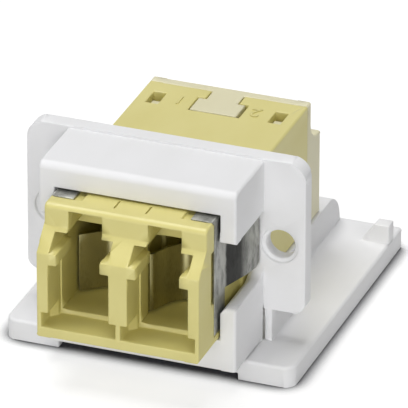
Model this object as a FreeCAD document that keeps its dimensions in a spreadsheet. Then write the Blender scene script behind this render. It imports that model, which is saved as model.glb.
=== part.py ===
import FreeCAD, Part

import math
import os
import re

import Sketcher

# LC duplex fibre adapter, snapped into a moulded carrier with two screw holes.
# X runs across the ports, Y runs from the front ports to the rear ports, Z is up.
# The origin is under the middle of the whole, on the plane of the carrier's feet.
# Pieces of the adapter are drawn from the adapter's front plane and its underside;
# the carrier is drawn from the same front plane and from its feet.

doc = FreeCAD.newDocument("LcFibreAdapter")
sheet = doc.addObject("Spreadsheet::Sheet", "Sizes")

SIZES = {
    # Adapter housing, outside
    "housing_wide": 12.8,
    "housing_tall": 10.25,
    "adapter_long": 26.35,
    "seam_at": 23.5,
    "block_tall": 6.92,
    "slope_tall": 1.6,
    "slope_deep": 1.6,
    "brow_round": 0.45,
    "edge_round": 0.2,
    # Ports, measured from each port's own mouth
    "port_pitch": 6.25,
    "mouth_wide": 4.77,
    "mouth_floor": 0.8,
    "mouth_deep": 2.6,
    "keyway_wide": 5.88,
    "keyway_tall": 1.2,
    "keyway_deep": 1.75,
    "keyway_slant": 0.5,
    "tunnel_wide": 4.54,
    "tunnel_floor": 1.15,
    "tunnel_roof": 7.4,
    "shelf_low": 6.0,
    "shelf_thick": 0.95,
    "shelf_gap": 3.46,
    "shelf_deep": 3.2,
    "latch_wide": 4.6,
    "latch_tall": 1.25,
    "latch_deep": 5.0,
    "crest_wide": 2.66,
    "crest_tall": 1.7,
    "crest_deep": 4.4,
    # Cavity behind the front ports, closed by the rear frame
    "cavity_wide": 11.2,
    "cavity_floor": 0.9,
    "roof_thick": 0.9,
    "plug_gap": 0.05,
    "rear_step": 2.05,
    "rear_cove": 1.6,
    # Rear frame's hook in the roof, with the two catches beside it
    "hook_front": 20.0,
    "hook_bar_wide": 3.74,
    "hook_bar_long": 2.1,
    "hook_stem_wide": 2.5,
    "hook_gap": 0.1,
    "hook_side_gap": 0.28,
    "window_at": 4.92,
    "window_wide": 1.0,
    "window_long": 1.95,
    "catch_wide": 0.8,
    "catch_long": 1.2,
    "catch_tall": 0.5,
    # Sleeve holders and split sleeves, on the ferrules' axis
    "ferrule_axis": 3.4,
    "ferrule_wide": 1.25,
    "sleeve_wide": 1.62,
    "sleeve_long": 6.4,
    "sleeve_slot": 0.25,
    "sleeve_gap": 0.02,
    "sleeve_end_gap": 0.05,
    "tube_wide": 2.4,
    "tube_lip": 0.2,
    "lip_wide": 1.4,
    "lip_flare": 0.12,
    "tube_chamfer": 0.25,
    "holder_thick": 1.275,
    # Shutters: sprung leaves hooked on upright pins in the post between the ports
    "pin_out": 0.6,
    "pin_at": 4.4,
    "pin_wide": 0.36,
    "pin_hold": 0.45,
    "pin_fit": 0.03,
    "root_wide": 0.64,
    "root_fit": 0.05,
    "relief_into": 0.35,
    "relief_rear": 7.8,
    "leaf_bottom": 1.3,
    "leaf_top": 6.0,
    "leaf_thick": 0.2,
    "neck_out": 1.0,
    "neck_at": 4.62,
    "neck_bend": 0.3,
    "waist_out": 1.6,
    "waist_at": 6.05,
    "waist_bend": 2.0,
    "bow_out": 2.85,
    "bow_at": 7.5,
    "bow_bend": 1.0,
    "free_gap": 0.15,
    "free_at": 5.58,
    # Steel clip and its recesses in the housing
    "clip_thick": 0.2,
    "clip_corner": 0.18,
    "clip_recess": 0.22,
    "clip_front": 3.35,
    "clip_rear": 9.2,
    "clip_foot": 0.7,
    "clip_bend_at": 5.5,
    "clip_band_at": 4.75,
    "ear_front": 3.05,
    "ear_inner": 4.62,
    "pad_wide": 7.87,
    "recess_margin": 0.1,
    "slot_front": 2.65,
    "slot_low": 3.46,
    "slot_tall": 4.34,
    "slot_into": 0.7,
    "leaf_low": 3.7,
    "leaf_tall": 4.2,
    "leaf_bend_at": 8.05,
    "leaf_bend_out": 0.83,
    "leaf_tip_at": 9.75,
    "leaf_tip_out": 1.15,
    "leaf_corner": 0.6,
    "flex_room": 0.35,
    "groove_at": 1.25,
    "groove_wide": 0.14,
    "groove_long": 1.25,
    "groove_into": 0.15,
    # Carrier
    "seat_height": 4.33,
    "plate_front": 6.3,
    "plate_rear": 30.85,
    "plate_margin": 0.45,
    "plate_thick": 1.7,
    "plate_edge": 0.25,
    "plate_corner": 1.0,
    "foot_wide": 4.39,
    "foot_drop": 0.55,
    "hood_front": 4.03,
    "hood_wall": 1.25,
    "hood_web": 0.5,
    "hood_roof": 1.95,
    "hood_edge": 0.6,
    "hood_corner": 0.25,
    "bore_side_gap": 0.15,
    "bore_top_gap": 0.13,
    "sill_lift": 0.13,
    "bay_low": 2.7,
    "bay_tall": 5.4,
    "bay_round": 0.9,
    "bay_bevel": 0.45,
    "flange_front": 10.0,
    "flange_thick": 1.35,
    "wing_wide": 3.29,
    "flange_tall": 12.48,
    "flange_drop": 0.03,
    "flange_top_round": 1.5,
    "flange_low_round": 1.0,
    "screw_out": 1.23,
    "screw_height": 5.45,
    "screw_hole": 2.3,
    "screw_rim": 2.9,
    "screw_rim_deep": 0.3,
    "rail_proud": 0.2,
    "rail_thick": 1.3,
    "rail_short": 0.25,
    "rail_round": 2.5,
    "rib_out": 0.7,
    "rib_thick": 0.57,
    "rib_long": 4.5,
    "rib_nose": 1.2,
    "wedge_at": 27.8,
    "wedge_deep": 1.15,
    "wedge_wide": 2.25,
    "wedge_flat": 1.15,
    "wedge_tall": 1.55,
}

for number, (alias, value) in enumerate(SIZES.items(), start=1):
    sheet.set("A%d" % number, alias.replace("_", " "))
    sheet.set("B%d" % number, str(value))
    sheet.setAlias("B%d" % number, alias)
doc.recompute()


def bound(text):
    """Turn size names in a formula into references to the sheet."""
    return re.sub(r"[a-z][a-z_]*[a-z]", lambda word: "Sizes." + word.group(0), text)


def size(text):
    """The present value of a formula of sizes, in millimetres."""
    return float(sheet.evalExpression(text))


PARTS = []


def body(label, lift="0"):
    """A body drawn from the adapter's front plane, lifted to its height above the feet."""
    piece = doc.addObject("PartDesign::Body", label)
    piece.Label = label
    piece.setExpression("Placement.Base.y", bound("-plate_rear / 2"))
    piece.setExpression("Placement.Base.z", bound(lift))
    PARTS.append(piece)
    return piece


PLANES = {"X": "YZ_Plane", "Y": "XZ_Plane", "Z": "XY_Plane"}


def outline(piece, axis, loops, start):
    """A sketch across an axis at a start distance, of corner loops and circles.

    A corner is a pair of formulas. A circle is a triple: centre and diameter.
    """
    drawing = piece.newObject("Sketcher::SketchObject", "Outline")
    plane = [p for p in piece.Origin.OriginFeatures if p.Role == PLANES[axis]][0]
    drawing.AttachmentSupport = [(plane, "")]
    drawing.MapMode = "FlatFace"
    away = "-(%s)" % start if axis == "Y" else start
    drawing.setExpression("AttachmentOffset.Base.z", bound(away))

    def bind(kind, edge, point, formula):
        rule = Sketcher.Constraint(kind, -1, 1, edge, point, size(formula))
        drawing.setExpression("Constraints[%d]" % drawing.addConstraint(rule), bound(formula))

    for loop in loops:
        if isinstance(loop, tuple):
            across, up, wide = loop
            centre = FreeCAD.Vector(size(across), size(up), 0)
            ring = Part.Circle(centre, FreeCAD.Vector(0, 0, 1), size(wide) / 2)
            edge = drawing.addGeometry(ring)
            rule = drawing.addConstraint(Sketcher.Constraint("Diameter", edge, size(wide)))
            drawing.setExpression("Constraints[%d]" % rule, bound(wide))
            bind("DistanceX", edge, 3, across)
            bind("DistanceY", edge, 3, up)
            continue
        corners = [FreeCAD.Vector(size(across), size(up), 0) for across, up in loop]
        first = drawing.GeometryCount
        count = len(corners)
        for index, corner in enumerate(corners):
            drawing.addGeometry(Part.LineSegment(corner, corners[(index + 1) % count]))
        for index in range(count):
            following = first + (index + 1) % count
            drawing.addConstraint(Sketcher.Constraint("Coincident", first + index, 2, following, 1))
        for index, (across, up) in enumerate(loop):
            bind("DistanceX", first + index, 1, across)
            bind("DistanceY", first + index, 1, up)
    return drawing


def rectangle(left, right, low, high):
    """Four corners between two distances each way."""
    return [(left, low), (right, low), (right, high), (left, high)]


def centred(wide, low, high, middle="0"):
    """A rectangle of a given width about a middle distance."""
    left = "%s - (%s) / 2" % (middle, wide)
    right = "%s + (%s) / 2" % (middle, wide)
    return rectangle(left, right, low, high)


def extrude(piece, kind, axis, loops, start, stop):
    """Add or cut a prism along an axis between two distances."""
    drawing = outline(piece, axis, loops, start)
    step = piece.newObject("PartDesign::" + kind, kind)
    step.Profile = drawing
    step.setExpression("Length", bound("(%s) - (%s)" % (stop, start)))
    step.Reversed = (kind == "Pad") == (axis == "Y")
    piece.Tip = step
    before = step.BaseFeature.Shape.Volume if step.BaseFeature else 0.0
    doc.recompute()
    if abs(step.Shape.Volume - before) < 1e-6:
        raise RuntimeError("%s: a %s along %s changed nothing" % (piece.Label, kind, axis))
    return step


def add(piece, axis, loops, start, stop):
    """Add a prism."""
    return extrude(piece, "Pad", axis, loops, start, stop)


def cut(piece, axis, loops, start, stop):
    """Cut a prism."""
    return extrude(piece, "Pocket", axis, loops, start, stop)


def edges_where(shape, chosen):
    """Names of the straight edges whose middle and direction pass a test."""
    names = []
    for index, edge in enumerate(shape.Edges, start=1):
        if edge.Degenerated or edge.Curve.TypeId != "Part::GeomLine":
            continue
        middle = edge.valueAt((edge.FirstParameter + edge.LastParameter) / 2)
        way = edge.tangentAt((edge.FirstParameter + edge.LastParameter) / 2)
        if chosen(middle, [abs(way.x), abs(way.y), abs(way.z)]):
            names.append("Edge%d" % index)
    return names


def soften(piece, kind, formula, chosen):
    """Round or bevel the straight edges that pass a test, by a formula of sizes."""
    base = piece.Tip
    names = edges_where(base.Shape, chosen)
    if not names:
        raise RuntimeError("%s: no edge to soften for %s" % (piece.Label, formula))
    step = piece.newObject("PartDesign::" + kind, kind)
    step.Base = (base, names)
    step.setExpression("Radius" if kind == "Fillet" else "Size", bound(formula))
    piece.Tip = step
    doc.recompute()
    return step


def near(value, formula):
    """Whether a coordinate lies at a formula of sizes."""
    return abs(value - size(formula)) < 0.01


PORTS = {"left": "(-port_pitch / 2)", "right": "(port_pitch / 2)"}
SIDES = (-1, 1)


def mirrored(side, inner, outer):
    """A span across X on one side, from an inner to an outer distance."""
    if side > 0:
        return inner, outer
    return "-(%s)" % outer, "-(%s)" % inner


def cut_ports(piece, tunnel_end, mouth_at=None):
    """Cut both ports, inward from the front plane or from a rear mouth."""

    def inward(depth):
        return depth if mouth_at is None else "%s - (%s)" % (mouth_at, depth)

    def run(loops, near_end, far_end):
        ends = [inward(near_end), inward(far_end)]
        if mouth_at is not None:
            ends.reverse()
        cut(piece, "Y", loops, ends[0], ends[1])

    def every(wide, low, high):
        return [centred(wide, low, high, middle) for middle in PORTS.values()]

    shelf_top = "shelf_low + shelf_thick"
    latch_top = shelf_top + " + latch_tall"
    run(every("mouth_wide", "mouth_floor", "shelf_low"), "0", "mouth_deep")
    run(every("tunnel_wide", "tunnel_floor", "shelf_low"), "mouth_deep", tunnel_end)
    run(every("tunnel_wide", "shelf_low", "tunnel_roof"), "shelf_deep", tunnel_end)
    run(every("shelf_gap", "shelf_low", shelf_top), "0", "shelf_deep")
    run(every("latch_wide", shelf_top, latch_top), "0", "latch_deep")
    run(every("crest_wide", latch_top, latch_top + " + crest_tall"), "0", "crest_deep")
    keyways = []
    for middle in PORTS.values():
        wide_left = middle + " - keyway_wide / 2"
        wide_right = middle + " + keyway_wide / 2"
        left = middle + " - mouth_wide / 2"
        right = middle + " + mouth_wide / 2"
        shallow = inward("keyway_deep")
        deep = inward("keyway_deep + keyway_slant")
        keyways.append([(wide_left, inward("0")), (wide_right, inward("0")), (wide_right, shallow),
                        (right, deep), (left, deep), (wide_left, shallow)])
    cut(piece, "Z", keyways, "mouth_floor", "mouth_floor + keyway_tall")


def hook_outline(margin, side_margin):
    """The T of the rear frame's hook in plan, or its cut-out when margins are given."""
    bar_left = "-(hook_bar_wide / 2 + %s)" % margin
    bar_right = "hook_bar_wide / 2 + " + side_margin
    stem = "hook_stem_wide / 2 + " + margin
    front = "hook_front - " + margin
    rear = "hook_front + hook_bar_long + " + margin
    return [(bar_left, front), (bar_right, front), (bar_right, rear), (stem, rear), (stem, "seam_at"),
            ("-(%s)" % stem, "seam_at"), ("-(%s)" % stem, rear), (bar_left, rear)]


HOLDER_AT = "adapter_long / 2 - holder_thick"

# Half widths of the carrier, each a wall or a margin beyond the one before
BORE_HALF = "(housing_wide / 2 + bore_side_gap)"
HOOD_HALF = "(%s + hood_wall)" % BORE_HALF
FLANGE_HALF = "(%s + wing_wide)" % HOOD_HALF
PLATE_HALF = "(%s + plate_margin)" % FLANGE_HALF


def housing():
    """Main moulding: both front ports, the clip's recesses and the rear cavity."""
    piece = body("housing", "seat_height")
    profile = [("0", "0"), ("seam_at", "0"), ("seam_at", "housing_tall"), ("slope_deep", "housing_tall"),
               ("slope_deep", "block_tall + slope_tall"), ("0", "block_tall")]
    add(piece, "X", [profile], "-housing_wide / 2", "housing_wide / 2")
    soften(piece, "Fillet", "brow_round",
           lambda m, w: w[0] > 0.9 and near(m.y, "slope_deep") and near(m.z, "housing_tall"))
    soften(piece, "Fillet", "edge_round",
           lambda m, w: w[1] > 0.9 and near(abs(m.x), "housing_wide / 2"))
    cut_ports(piece, HOLDER_AT)

    # Cavity for the sleeve holders and the rear frame, hook cut-out and catch windows
    cavity_roof = "housing_tall - roof_thick"
    cut(piece, "Y", [centred("cavity_wide", "cavity_floor", cavity_roof)], HOLDER_AT, "seam_at")
    cut(piece, "Z", [hook_outline("hook_gap", "hook_side_gap")], cavity_roof, "housing_tall")
    windows = []
    for side in SIDES:
        middle = "(%d * window_at)" % side
        windows.append(centred("window_wide", "hook_front", "hook_front + window_long", middle))
    cut(piece, "Z", windows, cavity_roof, "housing_tall")

    # Recesses of the clip over the roof and down both sides, with a deep slot before each side
    recess_floor = "housing_tall - clip_recess"
    front = "ear_front - recess_margin"
    rear = "clip_rear + recess_margin"
    band = "clip_band_at - recess_margin"
    cut(piece, "Z", [rectangle("-housing_wide / 2", "housing_wide / 2", band, rear)],
        recess_floor, "housing_tall")
    ears = []
    for side in SIDES:
        ears.append(rectangle(*mirrored(side, "pad_wide / 2", "housing_wide / 2"), front, band))
    cut(piece, "Z", ears, recess_floor, "housing_tall")
    wall = "housing_wide / 2 - clip_recess"
    for side in SIDES:
        inner, outer = mirrored(side, wall, "housing_wide / 2")
        cut(piece, "X", [rectangle("clip_front - recess_margin", rear, "clip_foot - recess_margin",
                                   "housing_tall")], inner, outer)
        inner, outer = mirrored(side, "housing_wide / 2 - slot_into", "housing_wide / 2")
        cut(piece, "X", [rectangle("slot_front", "clip_front + recess_margin", "slot_low",
                                   "slot_low + slot_tall")], inner, outer)
        inner, outer = mirrored(side, wall + " - flex_room", wall)
        cut(piece, "X", [rectangle("clip_bend_at", rear, "leaf_low - recess_margin",
                                   "leaf_low + leaf_tall + recess_margin")], inner, outer)

    # Two shallow grooves on the pad before the clip
    grooves = []
    for side in SIDES:
        middle = "(%d * groove_at)" % side
        grooves.append(centred("groove_wide", "slot_front", "slot_front + groove_long", middle))
    cut(piece, "Z", grooves, "housing_tall - groove_into", "housing_tall")

    # Grooves for the leaves' roots, relief behind them, and the pins' seats above and below
    root_room = "root_wide + 2 * root_fit"
    post_half = "(port_pitch / 2 - tunnel_wide / 2)"
    roots = []
    reliefs = []
    seats = []
    for side in SIDES:
        out = "%d * pin_out" % side
        roots.append((out, "pin_at", root_room))
        seats.append((out, "pin_at", "pin_wide"))
        inner, outer = mirrored(side, post_half + " - relief_into", post_half)
        reliefs.append(rectangle(inner, outer, "pin_at", "relief_rear"))
    cut(piece, "Z", roots, "tunnel_floor", "tunnel_roof")
    cut(piece, "Z", reliefs, "tunnel_floor", "tunnel_roof")
    cut(piece, "Z", seats, "tunnel_floor - pin_hold", "tunnel_roof + pin_hold")


def rear_frame():
    """Rear moulding: collar with both rear ports, plug inside the housing, hook and catches."""
    piece = body("rear_frame", "seat_height")
    step_at = "adapter_long - rear_step"
    profile = [("seam_at", "0"), ("adapter_long", "0"), ("adapter_long", "block_tall"),
               (step_at, "block_tall"), (step_at, "housing_tall"), ("seam_at", "housing_tall")]
    add(piece, "X", [profile], "-housing_wide / 2", "housing_wide / 2")
    soften(piece, "Fillet", "rear_cove",
           lambda m, w: w[0] > 0.9 and near(m.y, step_at) and near(m.z, "block_tall"))
    soften(piece, "Fillet", "edge_round",
           lambda m, w: w[1] > 0.9 and near(abs(m.x), "housing_wide / 2"))
    plug_top = "housing_tall - roof_thick - plug_gap"
    add(piece, "Y", [centred("cavity_wide - 2 * plug_gap", "cavity_floor + plug_gap", plug_top)],
        "adapter_long / 2 + holder_thick", "seam_at")
    add(piece, "Z", [hook_outline("0", "0")], plug_top, "housing_tall")
    catches = []
    for side in SIDES:
        middle = "(%d * window_at)" % side
        start = "hook_front + recess_margin"
        catches.append(centred("catch_wide", start, start + " + catch_long", middle))
    add(piece, "Z", catches, plug_top, plug_top + " + catch_tall")
    cut_ports(piece, "adapter_long / 2 - holder_thick", "adapter_long")


def sleeve_holder(label, front):
    """A plate across the cavity with a tube for each split sleeve, for one half of their length."""
    piece = body(label, "seat_height")
    middle = "adapter_long / 2"
    way = "-" if front else "+"

    def span(first, second):
        ends = ["%s %s (%s)" % (middle, way, first), "%s %s (%s)" % (middle, way, second)]
        return reversed(ends) if front else ends

    plate = centred("cavity_wide - 2 * plug_gap", "cavity_floor + plug_gap",
                    "housing_tall - roof_thick - plug_gap")
    seat_end = "sleeve_long / 2 + sleeve_end_gap"
    tube_end = seat_end + " + tube_lip"
    add(piece, "Y", [plate], *span("0", "holder_thick"))
    add(piece, "Y", [(at, "ferrule_axis", "tube_wide") for at in PORTS.values()],
        *span("holder_thick", tube_end))
    base = piece.Tip
    rims = []
    for index, edge in enumerate(base.Shape.Edges, start=1):
        round_edge = edge.Curve.TypeId == "Part::GeomCircle"
        if round_edge and near(edge.Curve.Center.y, "%s %s (%s)" % (middle, way, tube_end)):
            rims.append("Edge%d" % index)
    step = piece.newObject("PartDesign::Chamfer", "Chamfer")
    step.Base = (base, rims)
    step.setExpression("Size", bound("tube_chamfer"))
    piece.Tip = step
    doc.recompute()
    bore = "sleeve_wide + 2 * sleeve_gap"
    cut(piece, "Y", [(at, "ferrule_axis", bore) for at in PORTS.values()],
        *span("0", seat_end))

    # The lip that keeps the sleeve in, flared towards its mouth to lead a ferrule in
    rings = (("lip_wide", seat_end), ("lip_wide + 2 * lip_flare", tube_end))
    for at in PORTS.values():
        narrow, wide = [outline(piece, "Y", [(at, "ferrule_axis", across)],
                                "%s %s (%s)" % (middle, way, reach)) for across, reach in rings]
        funnel = piece.newObject("PartDesign::SubtractiveLoft", "Funnel")
        funnel.Profile = narrow
        funnel.Sections = [wide]
        piece.Tip = funnel
        doc.recompute()


def split_sleeve(name, at):
    """A ceramic sleeve that grips both ferrules, slit along its top."""
    piece = body("split_sleeve_" + name, "seat_height")
    start = "adapter_long / 2 - sleeve_long / 2"
    stop = "adapter_long / 2 + sleeve_long / 2"
    add(piece, "Y", [(at, "ferrule_axis", "sleeve_wide"), (at, "ferrule_axis", "ferrule_wide")],
        start, stop)
    cut(piece, "Y", [centred("sleeve_slot", "ferrule_axis", "ferrule_axis + sleeve_wide", at)],
        start, stop)


def bent_strip(corners, bends, thick):
    """A face of even thickness along a path of corners, each inner one rounded by its bend."""
    edges = []
    start = corners[0]
    for corner, following, bend in zip(corners[1:], corners[2:], bends):
        back = (start - corner).normalize()
        ahead = (following - corner).normalize()
        half_angle = back.getAngle(ahead) / 2
        reach = bend / math.tan(half_angle)
        middle = corner + (back + ahead).normalize() * (bend / math.sin(half_angle) - bend)
        first = corner + back * reach
        last = corner + ahead * reach
        edges.append(Part.makeLine(start, first))
        edges.append(Part.Arc(first, middle, last).toShape())
        start = last
    edges.append(Part.makeLine(start, corners[-1]))
    return Part.Wire(edges).makeOffset2D(thick, 0, True, True, False)


def shutter(name, side):
    """A bowed leaf across one front tunnel, with a round root that hooks on its pin."""

    def place(out, at):
        return FreeCAD.Vector(side * size(out), size(at), size("leaf_bottom"))

    free_out = "port_pitch / 2 + tunnel_wide / 2 - free_gap"
    corners = [place("pin_out", "pin_at"), place("neck_out", "neck_at"), place("waist_out", "waist_at"),
               place("bow_out", "bow_at"), place(free_out, "free_at")]
    bends = [size("neck_bend"), size("waist_bend"), size("bow_bend")]
    strip = bent_strip(corners, bends, side * size("leaf_thick"))
    rise = FreeCAD.Vector(0, 0, size("leaf_top - leaf_bottom"))
    root = Part.makeCylinder(size("root_wide / 2"), rise.z, corners[0])
    bore = Part.makeCylinder(size("pin_wide / 2 + pin_fit"), rise.z, corners[0])
    piece = doc.addObject("Part::Feature", "shutter_" + name)
    piece.Label = "shutter_" + name
    piece.Shape = strip.extrude(rise).fuse(root).cut(bore).removeSplitter()
    piece.setExpression("Placement.Base.y", bound("-plate_rear / 2"))
    piece.setExpression("Placement.Base.z", bound("seat_height"))
    PARTS.append(piece)


def shutter_pin(name, side):
    """An upright steel pin in the post, held in the tunnel's floor and roof."""
    piece = body("shutter_pin_" + name, "seat_height")
    add(piece, "Z", [("%d * pin_out" % side, "pin_at", "pin_wide")],
        "tunnel_floor - pin_hold", "tunnel_roof + pin_hold")


def spring_clip():
    """A folded steel strip over the roof and down both sides, with a leaf sprung out each side."""
    piece = body("spring_clip", "seat_height")
    outer = "housing_wide / 2"
    inner = "housing_wide / 2 - clip_thick"
    top = "housing_tall"
    under = "housing_tall - clip_thick"
    arch = [("-(%s)" % outer, "clip_foot"), ("-(%s)" % inner, "clip_foot"), ("-(%s)" % inner, under),
            (inner, under), (inner, "clip_foot"), (outer, "clip_foot"), (outer, top),
            ("-(%s)" % outer, top)]
    add(piece, "Y", [arch], "ear_front", "clip_rear")
    soften(piece, "Fillet", "clip_corner",
           lambda m, w: w[1] > 0.9 and near(abs(m.x), outer) and near(m.z, top))
    cut(piece, "Z", [centred("2 * ear_inner", "ear_front", "clip_band_at")], under, top)
    for side in SIDES:
        ends = mirrored(side, inner, outer)
        cut(piece, "X", [rectangle("ear_front", "clip_front", "clip_foot", under)], *ends)
        cut(piece, "X", [rectangle("clip_bend_at", "clip_rear", "clip_foot",
                                   "leaf_low + leaf_tall + recess_margin")], *ends)
    for side in SIDES:
        tip = "(%s + leaf_tip_out)" % outer
        middle = "(%s + leaf_bend_out)" % outer
        points = [(inner, "clip_bend_at"), (outer, "clip_bend_at"), (middle, "leaf_bend_at"),
                  (tip, "leaf_tip_at"), (tip + " - clip_thick", "leaf_tip_at"),
                  (middle + " - clip_thick", "leaf_bend_at")]
        if side < 0:
            points = [("-(%s)" % across, along) for across, along in points]
        add(piece, "Z", [points], "leaf_low", "leaf_low + leaf_tall")
    soften(piece, "Fillet", "leaf_corner",
           lambda m, w: w[0] > 0.9 and near(m.y, "leaf_tip_at"))


def carrier():
    """White moulding: plate on two feet, hood round the adapter, flange, rails, ribs and wedges."""
    piece = body("carrier")
    add(piece, "Z", [centred("2 * " + PLATE_HALF, "plate_front", "plate_rear")], "0", "plate_thick")
    soften(piece, "Fillet", "plate_corner",
           lambda m, w: w[2] > 0.9 and near(m.y, "plate_front"))
    soften(piece, "Fillet", "plate_edge",
           lambda m, w: w[0] > 0.9 and near(m.y, "plate_front") and near(m.z, "plate_thick"))
    relief = centred("2 * (%s - foot_wide)" % PLATE_HALF, "plate_front", "plate_rear")
    cut(piece, "Z", [relief], "0", "foot_drop")

    # Hood and flange, open for the adapter
    bore_top = "(seat_height + housing_tall + bore_top_gap)"
    sill = "(plate_thick + sill_lift)"
    hood_top = "(%s + hood_roof)" % bore_top
    flange_top = "(seat_height + flange_tall)"
    flange_low = "(seat_height - flange_drop)"
    bore = centred("2 * " + BORE_HALF, "seat_height", bore_top)
    add(piece, "Y", [centred("2 * " + FLANGE_HALF, flange_low, flange_top)],
        "flange_front", "flange_front + flange_thick")
    soften(piece, "Fillet", "flange_top_round",
           lambda m, w: w[1] > 0.9 and near(m.z, flange_top) and near(abs(m.x), FLANGE_HALF))
    soften(piece, "Fillet", "flange_low_round",
           lambda m, w: w[1] > 0.9 and near(m.z, flange_low) and near(abs(m.x), FLANGE_HALF))
    hood_wide = "2 * " + HOOD_HALF
    add(piece, "Y", [centred(hood_wide, "foot_drop", hood_top)], "flange_front - hood_web", "flange_front")
    add(piece, "Y", [centred(hood_wide, sill, hood_top)], "hood_front", "flange_front")
    soften(piece, "Fillet", "hood_edge",
           lambda m, w: w[0] > 0.9 and near(m.y, "hood_front") and near(m.z, hood_top))
    cut(piece, "Y", [bore], "hood_front", "flange_front + flange_thick")

    # Side bays that let the clip's leaves spring out before the flange
    bay_floor = "(seat_height + bay_low)"
    for side in SIDES:
        ends = mirrored(side, BORE_HALF, HOOD_HALF)
        bay = rectangle("hood_front", "flange_front", bay_floor, bay_floor + " + bay_tall")
        cut(piece, "X", [bay], *ends)
    soften(piece, "Fillet", "bay_round",
           lambda m, w: w[0] > 0.9 and near(m.y, "flange_front") and near(m.z, bay_floor))
    soften(piece, "Chamfer", "bay_bevel",
           lambda m, w: w[1] > 0.9 and near(abs(m.x), BORE_HALF) and near(m.z, bay_floor))
    bay_ends = (bay_floor, bay_floor + " + bay_tall")
    soften(piece, "Fillet", "hood_corner",
           lambda m, w: near(m.y, "hood_front") and w[2] > 0.9 and near(abs(m.x), HOOD_HALF)
           or near(m.y, "hood_front") and w[0] > 0.9 and any(near(m.z, end) for end in bay_ends))

    # Screw holes in the flange, each with a shallow bevelled rim
    for side in SIDES:
        middle = "(%d * (%s + screw_out))" % (side, HOOD_HALF)
        height = "seat_height + screw_height"
        cut(piece, "Y", [(middle, height, "screw_hole")], "flange_front", "flange_front + flange_thick")
        cut(piece, "Y", [(middle, height, "screw_rim")], "flange_front", "flange_front + screw_rim_deep")

    # Rails under the adapter, ribs under the flange and wedges at the rear corners
    flange_rear = "flange_front + flange_thick"
    for side in SIDES:
        rail_outer = "housing_wide / 2 + rail_proud"
        ends = mirrored(side, rail_outer + " - rail_thick", rail_outer)
        rail = rectangle("flange_front", "plate_rear - rail_short", "plate_thick", "seat_height")
        add(piece, "X", [rail], *ends)
        rib_outer = HOOD_HALF + " + rib_out"
        ends = mirrored(side, rib_outer + " - rib_thick", rib_outer)
        rib_end = flange_rear + " + rib_long"
        rib = [("flange_front", "plate_thick"), (rib_end, "plate_thick"),
               (rib_end + " - rib_nose", flange_low), ("flange_front", flange_low)]
        add(piece, "X", [rib], *ends)
    soften(piece, "Fillet", "rail_round",
           lambda m, w: w[0] > 0.9 and near(m.y, "plate_rear - rail_short") and near(m.z, "seat_height"))
    wedges = []
    for side in SIDES:
        wedge_top = "plate_thick + wedge_tall"
        points = [(PLATE_HALF + " - wedge_wide", "plate_thick"), (PLATE_HALF, "plate_thick"),
                  (PLATE_HALF, wedge_top), (PLATE_HALF + " - wedge_flat", wedge_top)]
        if side < 0:
            points = [("-(%s)" % across, up) for across, up in points]
        wedges.append(points)
    add(piece, "Y", wedges, "wedge_at", "wedge_at + wedge_deep")


carrier()
housing()
rear_frame()
sleeve_holder("sleeve_holder_front", True)
sleeve_holder("sleeve_holder_rear", False)
spring_clip()
for port_side, (port_name, port_middle) in zip(SIDES, PORTS.items()):
    split_sleeve(port_name, port_middle)
    shutter(port_name, port_side)
    shutter_pin(port_name, port_side)
doc.recompute()

for item in doc.Objects:
    if "Invalid" in item.State or "Error" in item.State:
        raise RuntimeError("%s failed: %s" % (item.Label, item.State))

os.makedirs("parts", exist_ok=True)
for part in PARTS:
    shape = part.Shape
    if shape.isNull() or not shape.isValid():
        raise RuntimeError("%s has no valid shape" % part.Label)
    box = shape.BoundBox
    print("%-22s solids %d volume %8.3f  x %7.3f %7.3f  y %7.3f %7.3f  z %7.3f %7.3f" % (
        part.Label, len(shape.Solids), shape.Volume, box.XMin, box.XMax, box.YMin, box.YMax,
        box.ZMin, box.ZMax))
    shape.exportStep("parts/%s.step" % part.Label)
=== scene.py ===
"""Finishes and photographs a duplex fibre adapter clipped into a moulded carrier.

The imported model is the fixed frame. Its mouldings, clip and shutters are shown as merged copies with
the small edge rounds that a mould or a press leaves. The inner pieces stay as they are packed.
"""

import logging
import math
from dataclasses import dataclass, field
from enum import Enum
from typing import Any

import bmesh
import bpy
from mathutils import Matrix, Vector
from mathutils.bvhtree import BVHTree
from mathutils.geometry import intersect_point_line


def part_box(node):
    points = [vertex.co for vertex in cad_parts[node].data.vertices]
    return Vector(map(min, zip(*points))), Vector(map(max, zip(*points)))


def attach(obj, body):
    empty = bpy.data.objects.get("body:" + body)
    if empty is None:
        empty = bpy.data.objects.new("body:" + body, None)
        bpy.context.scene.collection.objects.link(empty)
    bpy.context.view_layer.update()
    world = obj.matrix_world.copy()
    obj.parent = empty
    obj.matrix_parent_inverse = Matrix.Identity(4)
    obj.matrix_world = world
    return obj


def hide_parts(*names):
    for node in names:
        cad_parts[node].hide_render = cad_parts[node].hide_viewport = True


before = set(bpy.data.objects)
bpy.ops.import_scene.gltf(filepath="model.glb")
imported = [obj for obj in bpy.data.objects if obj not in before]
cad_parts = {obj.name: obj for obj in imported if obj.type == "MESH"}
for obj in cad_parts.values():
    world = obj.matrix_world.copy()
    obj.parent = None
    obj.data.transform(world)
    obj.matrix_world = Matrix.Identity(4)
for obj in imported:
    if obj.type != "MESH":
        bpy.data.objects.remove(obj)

log = logging.getLogger("adapter")

MM = 0.001
Colour = tuple[float, float, float]
Triple = tuple[float, float, float]
Stops = tuple[tuple[float, float], ...]


class Body(str, Enum):
    """The bodies that pieces ride on."""

    ADAPTER = "adapter"
    LEFT_SHUTTER = "left_shutter"
    RIGHT_SHUTTER = "right_shutter"


class Slot(str, Enum):
    """The record's material slots."""

    WHITE = "white_moulding"
    BEIGE = "beige_moulding"
    PALE = "pale_beige_moulding"
    CERAMIC = "zirconia"
    STEEL = "bright_steel"
    LEAF = "leaf_steel"


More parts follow.
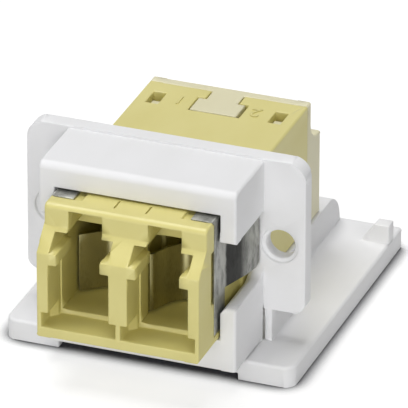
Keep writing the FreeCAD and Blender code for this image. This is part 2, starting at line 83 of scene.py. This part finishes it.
class Wire:
    """A shader socket that takes part in Python arithmetic."""

    def __init__(self, maker: "NodeMaker", socket: bpy.types.NodeSocket) -> None:
        """Hold one output socket.

        Args:
            maker: The node maker that adds the Math nodes.
            socket: The output that this wire carries.
        """
        self.maker = maker
        self.socket = socket

    def _math(self, operation: str, first: Any, second: Any) -> "Wire":
        """Add one Math node.

        Args:
            operation: Blender's name of the operation.
            first: A wire or a number.
            second: A wire or a number.

        Returns:
            The node's result.
        """
        return self.maker.node("ShaderNodeMath", {"operation": operation}, {0: first, 1: second})

    def __add__(self, other: Any) -> "Wire":
        """This plus another."""
        return self._math("ADD", self, other)

    def __radd__(self, other: Any) -> "Wire":
        """A number plus this."""
        return self._math("ADD", other, self)

    def __sub__(self, other: Any) -> "Wire":
        """This less another."""
        return self._math("SUBTRACT", self, other)

    def __rsub__(self, other: Any) -> "Wire":
        """A number less this."""
        return self._math("SUBTRACT", other, self)

    def __mul__(self, other: Any) -> "Wire":
        """This times another."""
        return self._math("MULTIPLY", self, other)

    def __rmul__(self, other: Any) -> "Wire":
        """A number times this."""
        return self._math("MULTIPLY", other, self)


class NodeMaker:
    """Adds nodes to one node tree."""

    # The Mix node's sockets for colours share their names with others, so they go by number.
    MIX_AMOUNT, MIX_FIRST, MIX_SECOND, MIX_RESULT = 0, 6, 7, 2

    def __init__(self, tree: bpy.types.NodeTree) -> None:
        """Start on a tree.

        Args:
            tree: The tree that gets the nodes.
        """
        self.tree = tree

    def add(self, kind: str, settings: dict[str, Any] | None = None,
            values: dict[Any, Any] | None = None) -> bpy.types.Node:
        """Add a node.

        Args:
            kind: The node's type.
            settings: Its properties, set first. "stops" holds a ramp's positions and greys.
            values: Its inputs by name or number, each a wire or a plain value.

        Returns:
            The node.
        """
        made = self.tree.nodes.new(kind)
        for name, setting in (settings or {}).items():
            if name == "stops":
                self._fill_ramp(made, setting)
            else:
                setattr(made, name, setting)
        for name, value in (values or {}).items():
            if isinstance(value, Wire):
                self.tree.links.new(value.socket, made.inputs[name])
            else:
                made.inputs[name].default_value = value
        return made

    def node(self, kind: str, settings: dict[str, Any] | None = None,
             values: dict[Any, Any] | None = None, output: Any = 0) -> Wire:
        """Add a node and carry on one of its outputs.

        Args:
            kind: The node's type.
            settings: Its properties, as add takes them.
            values: Its inputs, as add takes them.
            output: The name or number of the output to carry on.

        Returns:
            That output.
        """
        return Wire(self, self.add(kind, settings, values).outputs[output])

    @staticmethod
    def _fill_ramp(made: bpy.types.Node, stops: Stops) -> None:
        """Set a ramp's stops.

        Args:
            made: The ramp node.
            stops: Position and grey of each stop.
        """
        elements = made.color_ramp.elements
        while len(elements) < len(stops):
            elements.new(1.0)
        for element, (place, grey) in zip(elements, stops):
            element.position = place
            element.color = (grey, grey, grey, 1.0)

    def place(self, stretch: Triple = (1.0, 1.0, 1.0)) -> Wire:
        """The point on the object, in metres, scaled along each axis.

        Args:
            stretch: The factor along X, Y and Z. Below one it draws a pattern out.

        Returns:
            The point.
        """
        point = self.node("ShaderNodeTexCoord", output="Object")
        return self.node("ShaderNodeMapping", values={"Vector": point, "Scale": stretch})

    def noise(self, point: Wire, feature: float, detail: float = 3.0) -> Wire:
        """Cloudy noise.

        Args:
            point: Where it is read.
            feature: The width of one cloud, in metres.
            detail: How many finer layers it has.

        Returns:
            A value about 0.5.
        """
        return self.node("ShaderNodeTexNoise", values={
            "Vector": point, "Scale": 1.0 / feature, "Detail": detail}, output="Fac")

    def ramp(self, value: Wire, stops: Stops) -> Wire:
        """A value passed through greys at given places."""
        return self.node("ShaderNodeValToRGB", {"stops": stops}, {"Fac": value})

    def mix(self, amount: Wire, first: Any, second: Any) -> Wire:
        """A colour between two.

        Args:
            amount: The share of the second colour.
            first: A wire or a colour.
            second: A wire or a colour.

        Returns:
            The mixed colour.
        """
        pair = [c if isinstance(c, Wire) else (*c, 1.0) for c in (first, second)]
        return self.node("ShaderNodeMix", {"data_type": "RGBA"}, {
            self.MIX_AMOUNT: amount, self.MIX_FIRST: pair[0], self.MIX_SECOND: pair[1]}, self.MIX_RESULT)


class Finish:
    """A named material with one Principled surface."""

    EDGE_SAMPLES = 4

    def __init__(self, name: str) -> None:
        """Make the empty material.

        Args:
            name: The material's name.
        """
        self.material = bpy.data.materials.new(name)
        self.material.use_nodes = True
        self.maker = NodeMaker(self.material.node_tree)
        self.surface = self.material.node_tree.nodes["Principled BSDF"]

    def set(self, name: str, value: Any) -> None:
        """Link or set one socket of the surface.

        Args:
            name: The socket's name.
            value: A wire or a plain value.
        """
        if isinstance(value, Wire):
            self.material.node_tree.links.new(value.socket, self.surface.inputs[name])
        else:
            self.surface.inputs[name].default_value = value

    def relief(self, height: Wire, depth: float, softness: float) -> None:
        """Give the surface a fine relief over softened edges.

        Args:
            height: The relief, from 0 to 1.
            depth: How deep it is, in metres.
            softness: The radius of the softened edges, in metres.
        """
        edges = self.maker.node("ShaderNodeBevel", {"samples": self.EDGE_SAMPLES}, {"Radius": softness})
        self.set("Normal", self.maker.node("ShaderNodeBump", values={
            "Strength": 1.0, "Distance": depth, "Height": height, "Normal": edges}))


@dataclass(frozen=True)
class MouldedPlastic:
    """A satin injection moulding with faint flow marks and a fine eroded grain."""

    name: str
    colour: Colour
    flow: Colour
    roughness: float = 0.46
    sheen: float = 1.0
    ior: float = 1.5
    flow_width: float = 3.5 * MM
    flow_run: Triple = (1.0, 0.45, 1.0)
    flow_mask: Stops = ((0.36, 0.0), (0.68, 1.0))
    grain_width: float = 0.07 * MM
    grain_detail: float = 4.0
    grain_depth: float = 0.0022 * MM
    dulling_allowance: float = 0.03
    flow_dulls: float = 0.08
    grain_dulls: float = 0.05
    edge_radius: float = 0.07 * MM

    def make(self) -> bpy.types.Material:
        """Build the material.

        Returns:
            The material.
        """
        finish = Finish(self.name)
        maker = finish.maker
        clouds = maker.noise(maker.place(self.flow_run), self.flow_width)
        flow = maker.ramp(clouds, self.flow_mask)
        grain = maker.noise(maker.place(), self.grain_width, self.grain_detail)
        finish.set("Base Color", maker.mix(flow, self.colour, self.flow))
        finish.set("Roughness", self.roughness - self.dulling_allowance + self.flow_dulls * flow
                   + self.grain_dulls * grain)
        finish.set("IOR", self.ior)
        finish.set("Specular IOR Level", self.sheen)
        finish.relief(grain, self.grain_depth, self.edge_radius)
        return finish.material


@dataclass(frozen=True)
class RolledSteel:
    """Spring steel strip with rolling streaks, worn patches and, on request, a painted dark reflection
    over its bend.
    """

    name: str
    bright: Colour
    stain: Colour
    stain_width: float
    roughness: float = 0.24
    streak_width: float = 0.035 * MM
    streak_run: Triple = (1.0, 1.0, 0.09)
    streak_detail: float = 5.0
    stain_run: Triple = (1.0, 1.0, 0.4)
    stain_detail: float = 6.0
    patch_share: float = 0.6
    streak_share: float = 0.4
    worn_mask: Stops = ((0.46, 0.0), (0.60, 1.0))
    streak_dulls: float = 0.22
    wear_dulls: float = 0.08
    relief_depth: float = 0.0025 * MM
    edge_radius: float = 0.03 * MM
    # The next five settings paint a dark reflection, a painted shade, on the bend between two distances
    # along Y, where the strip would mirror the hood's shaded underside.
    painted_shade_colour: Colour = (0.012, 0.012, 0.011)
    painted_shade_from: float | None = None
    painted_shade_to: float | None = None
    painted_shade_fray: float = 0.14
    painted_shade_mask: Stops = ((0.02, 0.0), (0.08, 0.97), (0.62, 0.90), (0.90, 0.0))

    def make(self) -> bpy.types.Material:
        """Build the material.

        Returns:
            The material.
        """
        finish = Finish(self.name)
        maker = finish.maker
        streaks = maker.noise(maker.place(self.streak_run), self.streak_width, self.streak_detail)
        patches = maker.noise(maker.place(self.stain_run), self.stain_width, self.stain_detail)
        worn = maker.ramp(patches * self.patch_share + streaks * self.streak_share, self.worn_mask)
        steel = maker.mix(worn, self.bright, self.stain)
        # Painted shade: the bend between the two distances along Y is darkened to stand for the hood's
        # shade mirrored in it.
        if self.painted_shade_from is not None:
            steel = maker.mix(self._painted_shade_share(maker, patches), steel, self.painted_shade_colour)
        finish.set("Base Color", steel)
        finish.set("Metallic", 1.0)
        finish.set("Roughness", self.roughness + self.streak_dulls * streaks + self.wear_dulls * worn)
        finish.relief(streaks, self.relief_depth, self.edge_radius)
        return finish.material

    def _painted_shade_share(self, maker: NodeMaker, patches: Wire) -> Wire:
        """How far the painted dark reflection covers the strip at its bend, from none to full.

        Args:
            maker: The material's node maker.
            patches: The stain noise, which frays the painted shade's ends.

        Returns:
            A value between 0 and 1.
        """
        along = maker.node("ShaderNodeSeparateXYZ", values={"Vector": maker.place()}, output="Y")
        length = self.painted_shade_to - self.painted_shade_from
        share = (along - self.painted_shade_from) * (1.0 / length) + (patches - 0.5) * self.painted_shade_fray
        return maker.ramp(share, self.painted_shade_mask)


@dataclass(frozen=True)
class GroundCeramic:
    """White zirconia, ground and polished round, with faint rings from the wheel."""

    name: str
    colour: Colour
    shade: Colour
    roughness: float = 0.14
    ior: float = 2.1
    ring_width: float = 0.05 * MM
    ring_run: Triple = (0.06, 1.0, 0.06)
    ring_detail: float = 2.0
    ring_dulls: float = 0.06
    ring_depth: float = 0.0004 * MM
    edge_radius: float = 0.02 * MM

    def make(self) -> bpy.types.Material:
        """Build the material.

        Returns:
            The material.
        """
        finish = Finish(self.name)
        maker = finish.maker
        rings = maker.noise(maker.place(self.ring_run), self.ring_width, self.ring_detail)
        finish.set("Base Color", maker.mix(rings, self.colour, self.shade))
        finish.set("Roughness", self.roughness + self.ring_dulls * rings)
        finish.set("IOR", self.ior)
        finish.relief(rings, self.ring_depth, self.edge_radius)
        return finish.material


WHITE = MouldedPlastic("white_moulding", (0.805, 0.805, 0.815), (0.780, 0.780, 0.785),
                       roughness=0.58, sheen=0.45, edge_radius=0.03 * MM)
BEIGE = MouldedPlastic("beige_moulding", (0.640, 0.575, 0.196), (0.612, 0.546, 0.180))
PALE = MouldedPlastic("pale_beige_moulding", (0.675, 0.635, 0.420), (0.650, 0.608, 0.390))
HOLDER = MouldedPlastic("holder_moulding", (0.600, 0.550, 0.230), (0.570, 0.520, 0.210))
# The bright steel carries a painted dark reflection on the clip's bend, between these two distances along
# Y.
STEEL = RolledSteel("bright_steel", (0.405, 0.408, 0.380), (0.212, 0.214, 0.200), 0.6 * MM,
                    roughness=0.26, painted_shade_from=-9.95 * MM, painted_shade_to=-7.00 * MM)
LEAF = RolledSteel("leaf_steel", (0.400, 0.365, 0.185), (0.270, 0.245, 0.115), 2.4 * MM)
CERAMIC = GroundCeramic("zirconia", (0.860, 0.860, 0.830), (0.820, 0.820, 0.790))


def new_object(name: str, data: Any) -> bpy.types.Object:
    """An object in the scene, at the origin.

    Args:
        name: The object's name.
        data: Its mesh, curve, lamp or camera.

    Returns:
        The object.
    """
    made = bpy.data.objects.new(name, data)
    bpy.context.scene.collection.objects.link(made)
    return made


def merged_copy(node: str) -> bmesh.types.BMesh:
    """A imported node's mesh with its doubles merged and its flat faces made whole.

    Args:
        node: The node's name.

    Returns:
        The merged mesh.
    """
    merge_distance = 0.0005 * MM
    flat = math.radians(0.4)
    mesh = bmesh.new()
    mesh.from_mesh(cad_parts[node].data)
    bmesh.ops.remove_doubles(mesh, verts=mesh.verts, dist=merge_distance)
    bmesh.ops.dissolve_degenerate(mesh, edges=mesh.edges, dist=merge_distance)
    bmesh.ops.dissolve_limit(mesh, angle_limit=flat, use_dissolve_boundaries=False,
                             verts=mesh.verts, edges=mesh.edges)
    return mesh


@dataclass(frozen=True)
class EdgeRound:
    """The small round that a mould or a press leaves on each crisp edge.

    Long edges are cut into stretches first, so that one crowded spot costs only its own stretch its
    round. What ends in radii is counted in the round's own radius.
    """

    radius: float
    segments: int = 2
    crisp: float = math.radians(40.0)
    smooth: float = math.radians(22.0)
    stretch: float = 1.0 * MM
    stretches_to_cut: float = 1.5
    in_line: float = math.cos(math.radians(35.0))
    room_radii: float = 2.1
    stray_radii: float = 0.5
    near_radii: float = 1.6
    turned_over: float = -0.2
    speck: float = 1e-13
    turns: int = 8

    def finish(self, name: str, mesh: bmesh.types.BMesh, material: bpy.types.Material) -> bpy.types.Object:
        """Round a mesh's crisp edges, except where the round would fold over a neighbour.

        Args:
            name: The new object's name.
            mesh: The merged mesh, which is freed.
            material: The finish of every face.

        Returns:
            The object, at the origin, with no modifier left on it.
        """
        edges = self._prepare(mesh)
        weight = mesh.edges.layers.float["bevel_weight_edge"]
        surface = BVHTree.FromBMesh(mesh)
        piece = new_object(name, bpy.data.meshes.new(name))
        for _ in range(self.turns):
            self._bevel(piece, mesh)
            folds = self._folds(piece.data, surface)
            left_out = [edge for edge in edges if edge[weight] > 0.0 and self._beside(edge, folds)]
            if not left_out:
                break
            for edge in left_out:
                edge[weight] = 0.0
        mesh.free()
        piece.data.materials.clear()
        piece.data.materials.append(material)
        return piece

    def _is_crisp(self, edge: bmesh.types.BMEdge) -> bool:
        """Whether an edge joins two faces at a clear angle."""
        return len(edge.link_faces) == 2 and edge.calc_face_angle(0.0) >= self.crisp

    def _prepare(self, mesh: bmesh.types.BMesh) -> list[bmesh.types.BMEdge]:
        """Part the long crisp edges into short lengths and weigh those with room for the round.

        Args:
            mesh: The merged mesh, triangulated here.

        Returns:
            The crisp edges.
        """
        for edge in [edge for edge in mesh.edges if self._is_crisp(edge)]:
            if edge.calc_length() > self.stretches_to_cut * self.stretch:
                cuts = int(edge.calc_length() / self.stretch)
                bmesh.ops.subdivide_edges(mesh, edges=[edge], cuts=cuts)
        bmesh.ops.triangulate(mesh, faces=mesh.faces, quad_method="BEAUTY", ngon_method="BEAUTY")
        weight = mesh.edges.layers.float.new("bevel_weight_edge")
        crisp = {edge for edge in mesh.edges if self._is_crisp(edge)}
        for edge in crisp:
            along = (edge.verts[1].co - edge.verts[0].co).normalized()
            room = min(2.0 * face.calc_area() / edge.calc_length() for face in edge.link_faces)
            for vert in edge.verts:
                for other in crisp.intersection(vert.link_edges) - {edge}:
                    way = (other.other_vert(vert).co - vert.co).normalized()
                    if abs(way.dot(along)) < self.in_line:
                        room = min(room, other.calc_length())
            edge[weight] = 1.0 if room > self.room_radii * self.radius else 0.0
        return sorted(crisp, key=lambda edge: edge.index)

    def _bevel(self, piece: bpy.types.Object, mesh: bmesh.types.BMesh) -> None:
        """Give an object the weighed mesh with its bevel baked in.

        Args:
            piece: The object, whose mesh is replaced.
            mesh: The weighed mesh.
        """
        weight = mesh.edges.layers.float["bevel_weight_edge"]
        for face in mesh.faces:
            face.smooth = True
        for edge in mesh.edges:
            edge.smooth = edge[weight] > 0.0 or edge.calc_face_angle(0.0) < self.smooth
        data = bpy.data.meshes.new(piece.name)
        mesh.to_mesh(data)
        piece.data = data
        bevel = piece.modifiers.new("edge_round", "BEVEL")
        bevel.limit_method = "WEIGHT"
        bevel.width = self.radius
        bevel.segments = self.segments
        bevel.use_clamp_overlap = False
        bevel.loop_slide = False
        shading = piece.modifiers.new("flat_shading", "WEIGHTED_NORMAL")
        shading.mode = "FACE_AREA"
        shading.keep_sharp = True
        bake(piece)

    def _folds(self, data: bpy.types.Mesh, surface: BVHTree) -> list[Vector]:
        """Points where a bevelled mesh turns against the surface that it came from, or leaves it.

        Args:
            data: The bevelled mesh.
            surface: The mesh before.

        Returns:
            The points.
        """
        bevelled = bmesh.new()
        bevelled.from_mesh(data)
        stray = self.stray_radii * self.radius
        points = [v.co.copy() for v in bevelled.verts if surface.find_nearest(v.co)[3] > stray]
        bmesh.ops.triangulate(bevelled, faces=bevelled.faces)
        for face in bevelled.faces:
            under = surface.find_nearest(face.calc_center_median())[1]
            if face.calc_area() > self.speck and under.dot(face.normal) < self.turned_over:
                points += [vert.co.copy() for vert in face.verts]
        bevelled.free()
        return points

    def _beside(self, edge: bmesh.types.BMEdge, points: list[Vector]) -> bool:
        """Whether an edge passes close to any of some points.

        Args:
            edge: The edge.
            points: The points.

        Returns:
            True if it does.
        """
        first, last = (vert.co for vert in edge.verts)
        for point in points:
            share = intersect_point_line(point, first, last)[1]
            foot = first.lerp(last, min(max(share, 0.0), 1.0))
            if (foot - point).length < self.near_radii * self.radius:
                return True
        return False


def bake(piece: bpy.types.Object) -> None:
    """Turn an object's modifiers into its mesh.

    Args:
        piece: The object with live modifiers, which ends with a plain mesh.
    """
    bpy.context.view_layer.update()
    graph = bpy.context.evaluated_depsgraph_get()
    plain = bpy.data.meshes.new_from_object(piece.evaluated_get(graph), depsgraph=graph)
    piece.modifiers.clear()
    piece.data = plain
    plain.name = piece.name


def seat(piece: bpy.types.Object, body: Body, slot: Slot, *nodes: str) -> None:
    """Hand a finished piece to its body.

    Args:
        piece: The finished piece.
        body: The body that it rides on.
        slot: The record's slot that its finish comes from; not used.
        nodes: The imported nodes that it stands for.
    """
    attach(piece, body.value)
    if nodes:
        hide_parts(*nodes)
    log.info("%s: %d faces on %s", piece.name, len(piece.data.polygons), body.value)


def dress_node(node: str, material: bpy.types.Material) -> None:
    """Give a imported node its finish, with its mesh as it is.

    Args:
        node: The node's name.
        material: Its finish.
    """
    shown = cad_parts[node]
    if not shown.material_slots:
        shown.data.materials.append(material)
    for held in shown.material_slots:
        held.material = material
    log.info("%s: packed mesh, %s", node, material.name)


@dataclass
class Mouldings:
    """The carrier, the adapter's two outer mouldings and the two sleeve holders."""

    edge: EdgeRound = field(default_factory=lambda: EdgeRound(0.09 * MM))

    def build(self) -> None:
        """Show each outer moulding with rounded edges, and dress the inner ones."""
        for node, finish, slot in (("carrier", WHITE, Slot.WHITE), ("housing", BEIGE, Slot.BEIGE),
                                   ("rear_frame", PALE, Slot.PALE)):
            piece = self.edge.finish(node + "_moulding", merged_copy(node), finish.make())
            seat(piece, Body.ADAPTER, slot, node)
        holder = HOLDER.make()
        for node in ("sleeve_holder_front", "sleeve_holder_rear"):
            dress_node(node, holder)


@dataclass
class Steelwork:
    """The clip over the housing, the two shutter leaves and their pins."""

    clip_edge: EdgeRound = field(default_factory=lambda: EdgeRound(0.025 * MM))
    leaf_edge: EdgeRound = field(default_factory=lambda: EdgeRound(0.03 * MM))

    def build(self) -> None:
        """Show the clip and the leaves with their pressed edges, and dress the pins."""
        steel = STEEL.make()
        leaf = LEAF.make()
        clip = self.clip_edge.finish("clip_strip", merged_copy("spring_clip"), steel)
        seat(clip, Body.ADAPTER, Slot.STEEL, "spring_clip")
        for side, body in (("left", Body.LEFT_SHUTTER), ("right", Body.RIGHT_SHUTTER)):
            node = "shutter_" + side
            piece = self.leaf_edge.finish(node + "_leaf", merged_copy(node), leaf)
            seat(piece, body, Slot.LEAF, node)
            dress_node("shutter_pin_" + side, steel)


@dataclass
class Sleeves:
    """The two split ceramic sleeves."""

    def build(self) -> None:
        """Dress both sleeves."""
        ceramic = CERAMIC.make()
        for side in ("left", "right"):
            dress_node("split_sleeve_" + side, ceramic)


@dataclass
class PortNumbers:
    """Plain raised numbers on the roof, one behind each port, read from the rear."""

    height: float = 1.30 * MM
    digit_to_font: float = 0.7
    curve_steps: int = 4
    proud: float = 0.06 * MM
    sunk: float = 0.03 * MM
    out: float = 3.05 * MM
    behind_seam: float = 2.35 * MM

    def build(self) -> None:
        """Make both numbers and seat them on the housing's roof."""
        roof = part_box("rear_frame")[1].z
        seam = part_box("housing")[1].y
        material = BEIGE.make()
        for text, side in (("1", -1), ("2", 1)):
            middle = Vector((side * self.out, seam - self.behind_seam, roof))
            piece = self._number(text, middle)
            piece.data.materials.append(material)
            seat(piece, Body.ADAPTER, Slot.BEIGE)

    def _number(self, text: str, middle: Vector) -> bpy.types.Object:
        """One number as a closed mesh.

        Args:
            text: The digit.
            middle: The middle of its base, on the roof.

        Returns:
            The object, at the origin.
        """
        curve = bpy.data.curves.new("number_" + text, "FONT")
        curve.body = text
        curve.align_x = "CENTER"
        curve.align_y = "CENTER"
        curve.size = self.height / self.digit_to_font
        curve.extrude = (self.proud + self.sunk) / 2
        curve.resolution_u = self.curve_steps
        holder = new_object("number_" + text, curve)
        bpy.context.view_layer.update()
        graph = bpy.context.evaluated_depsgraph_get()
        mesh = bpy.data.meshes.new_from_object(holder.evaluated_get(graph), depsgraph=graph)
        bpy.data.objects.remove(holder)
        lift = Vector((0.0, 0.0, (self.proud - self.sunk) / 2))
        mesh.transform(Matrix.Translation(middle + lift) @ Matrix.Rotation(math.pi, 4, "Z"))
        mesh.materials.clear()
        return new_object("port_number_" + text, mesh)


@dataclass
class EjectorMarks:
    """Flush round marks that the mould's ejector pins leave on the plate's underside."""

    across: int = 3
    along: int = 4
    width: float = 10.4 * MM
    length: float = 18.0 * MM
    radius: float = 0.9 * MM
    sides: int = 32
    proud: float = 0.015 * MM
    sunk: float = 0.05 * MM
    relief_height: float = 0.55 * MM
    middle_y: float = 3.4 * MM

    def build(self) -> None:
        """Make the marks with Geometry Nodes and seat them on the carrier."""
        material = WHITE.make()
        piece = new_object("ejector_marks", bpy.data.meshes.new("ejector_marks"))
        modifier = piece.modifiers.new("marks", "NODES")
        modifier.node_group, sockets = self._tree(material)
        sizes = {"Across": self.across, "Along": self.along, "Width": self.width,
                 "Length": self.length, "Radius": self.radius, "Thickness": self.proud + self.sunk}
        for name, value in sizes.items():
            modifier[sockets[name]] = value
        bake(piece)
        middle_z = self.relief_height + (self.sunk - self.proud) / 2
        piece.data.transform(Matrix.Translation((0.0, self.middle_y, middle_z)))
        seat(piece, Body.ADAPTER, Slot.WHITE)

    def _tree(self, material: bpy.types.Material) -> tuple[bpy.types.NodeTree, dict[str, str]]:
        """The tree that sets round marks out on a grid.

        Args:
            material: The marks' finish.

        Returns:
            The tree, and each input's identifier by its name.
        """
        tree = bpy.data.node_groups.new("ejector_marks", "GeometryNodeTree")
        sockets = {}
        for name, kind in (("Across", "Int"), ("Along", "Int"), ("Width", "Float"),
                           ("Length", "Float"), ("Radius", "Float"), ("Thickness", "Float")):
            item = tree.interface.new_socket(name, in_out="INPUT", socket_type="NodeSocket" + kind)
            sockets[name] = item.identifier
        tree.interface.new_socket("Geometry", in_out="OUTPUT", socket_type="NodeSocketGeometry")
        maker = NodeMaker(tree)
        given = {name: maker.node("NodeGroupInput", output=name) for name in sockets}
        grid = maker.node("GeometryNodeMeshGrid", values={
            "Size X": given["Width"], "Size Y": given["Length"],
            "Vertices X": given["Across"], "Vertices Y": given["Along"]}, output="Mesh")
        disc = maker.node("GeometryNodeMeshCylinder", values={
            "Vertices": self.sides, "Radius": given["Radius"], "Depth": given["Thickness"]},
            output="Mesh")
        marks = maker.node("GeometryNodeInstanceOnPoints", values={"Points": grid, "Instance": disc})
        real = maker.node("GeometryNodeRealizeInstances", values={"Geometry": marks})
        dressed = maker.node("GeometryNodeSetMaterial", values={"Geometry": real, "Material": material})
        maker.add("NodeGroupOutput", values={"Geometry": dressed})
        return tree, sockets


@dataclass(frozen=True)
class SoftBox:
    """A square lamp that faces the object."""

    name: str
    place: Triple
    size: float
    power: float
    aim: Triple = (0.0, 0.0, 8.0 * MM)

    def build(self) -> None:
        """Hang the lamp and turn it to the object."""
        lamp = bpy.data.lights.new(self.name, "AREA")
        lamp.size = self.size
        lamp.energy = self.power
        holder = new_object(self.name, lamp)
        holder.location = self.place
        way = Vector(self.aim) - Vector(self.place)
        holder.rotation_euler = way.to_track_quat("-Z", "Y").to_euler()


@dataclass
class Studio:
    """A plain white floor, soft lights and the camera at the photograph's angle."""

    azimuth: float = 20.751
    elevation: float = 27.356
    distance: float = 554.1 * MM
    lens: float = 655.2
    target: Triple = (0.0, -5.425 * MM, 9.33 * MM)
    target_pixel: tuple[float, float] = (165.43, 231.56)
    image_width: float = 408.0
    sensor: float = 36.0
    floor_size: float = 4.0
    floor_seen: Colour = (0.36, 0.36, 0.36)
    # Painted shadow: the floor's dark colour close under and beside the object, where ambient occlusion
    # finds it shut in.
    floor_painted_shadow: Colour = (0.10, 0.10, 0.11)
    floor_bounce: Colour = (0.80, 0.80, 0.80)
    floor_lift: float = 0.74
    contact_reach: float = 1.5 * MM
    contact_samples: int = 8
    contact_mask: Stops = ((0.48, 0.0), (0.93, 1.0))
    sky: float = 0.08
    lamps: tuple[SoftBox, ...] = (SoftBox("top", (-0.11, 0.01, 0.67), 0.45, 3.75),
                                  SoftBox("front", (0.06, -0.640, 0.100), 0.26, 1.75),
                                  SoftBox("fill", (0.480, -0.280, 0.340), 0.30, 0.80))

    def build(self) -> None:
        """Set up the floor, the sky, the lights and the camera."""
        bpy.context.scene.view_settings.view_transform = "Standard"
        self._floor()
        self._sky()
        for lamp in self.lamps:
            lamp.build()
        self._camera()

    @staticmethod
    def _seen(maker: NodeMaker) -> Wire:
        """Whether a ray is seen, straight or in a mirror or a glass, or only lights the object.

        Args:
            maker: The node maker of the floor or the sky.

        Returns:
            One for a ray that is seen, else nought.
        """
        rays = [maker.node("ShaderNodeLightPath", output=name)
                for name in ("Is Camera Ray", "Is Glossy Ray", "Is Transmission Ray")]
        return maker.node("ShaderNodeClamp", values={"Value": rays[0] + rays[1] + rays[2]})

    def _floor(self) -> None:
        """A wide plane that is white to the eye and darkens close under and beside the object: a painted
        contact shadow, set by ambient occlusion, over a faint real shadow.
        """
        material = bpy.data.materials.new("studio_floor")
        material.use_nodes = True
        tree = material.node_tree
        tree.nodes.remove(tree.nodes["Principled BSDF"])
        maker = NodeMaker(tree)
        # Painted shadow: near the object the floor's seen colour turns to the dark colour by ambient
        # occlusion.
        open_sky = maker.node("ShaderNodeAmbientOcclusion", {"samples": self.contact_samples},
                              {"Distance": self.contact_reach}, "AO")
        contact = maker.ramp(open_sky, self.contact_mask)
        glow = maker.node("ShaderNodeEmission", values={"Strength": self.floor_lift})
        matt = maker.node("ShaderNodeBsdfDiffuse", values={"Color": (*self.floor_seen, 1.0)})
        lit = maker.node("ShaderNodeAddShader", values={0: glow, 1: matt})
        under = maker.node("ShaderNodeBsdfDiffuse", values={"Color": (*self.floor_painted_shadow, 1.0)})
        shown = maker.node("ShaderNodeMixShader", values={0: contact, 1: under, 2: lit})
        bounce = maker.node("ShaderNodeBsdfDiffuse", values={"Color": (*self.floor_bounce, 1.0)})
        both = maker.node("ShaderNodeMixShader", values={0: self._seen(maker), 1: bounce, 2: shown})
        tree.links.new(both.socket, tree.nodes["Material Output"].inputs["Surface"])
        mesh = bpy.data.meshes.new("studio_floor")
        half = self.floor_size / 2
        corners = [(-half, -half, 0.0), (half, -half, 0.0), (half, half, 0.0), (-half, half, 0.0)]
        mesh.from_pydata(corners, [], [(0, 1, 2, 3)])
        mesh.materials.append(material)
        new_object("studio_floor", mesh)

    def _sky(self) -> None:
        """A white world to the eye that lights the object only a little."""
        world = bpy.data.worlds.new("studio_sky")
        world.use_nodes = True
        bpy.context.scene.world = world
        tree = world.node_tree
        maker = NodeMaker(tree)
        white = (1.0, 1.0, 1.0, 1.0)
        dim = maker.node("ShaderNodeBackground", values={"Color": white, "Strength": self.sky})
        full = maker.node("ShaderNodeBackground", values={"Color": white, "Strength": 1.0})
        both = maker.node("ShaderNodeMixShader", values={0: self._seen(maker), 1: dim, 2: full})
        tree.links.new(both.socket, tree.nodes["World Output"].inputs["Surface"])

    def _camera(self) -> None:
        """The camera, aimed so that the target falls on its pixel with no shift."""
        turn = math.radians(self.azimuth)
        tilt = math.radians(self.elevation)
        right = Vector((math.cos(turn), math.sin(turn), 0.0))
        ahead = Vector((-math.sin(turn) * math.cos(tilt), math.cos(turn) * math.cos(tilt),
                        -math.sin(tilt)))
        above = right.cross(ahead)
        pixels = self.lens / self.sensor * self.image_width
        half = self.image_width / 2
        aim = (ahead + right * ((half - self.target_pixel[0]) / pixels)
               - above * ((half - self.target_pixel[1]) / pixels)).normalized()
        side = (right - aim * right.dot(aim)).normalized()
        turned = Matrix((side, side.cross(aim), -aim)).transposed().to_4x4()
        turned.translation = Vector(self.target) - ahead * self.distance
        camera = new_object("camera", bpy.data.cameras.new("camera"))
        camera.data.sensor_width = self.sensor
        camera.data.lens = self.lens
        camera.matrix_world = turned
        bpy.context.scene.camera = camera


def main() -> None:
    """Build every sub-assembly in order."""
    logging.basicConfig(level=logging.INFO, format="%(name)s: %(message)s")
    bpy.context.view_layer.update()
    for assembly in (Mouldings(), Steelwork(), Sleeves(), PortNumbers(), EjectorMarks(), Studio()):
        assembly.build()


if __name__ == "__main__":
    main()
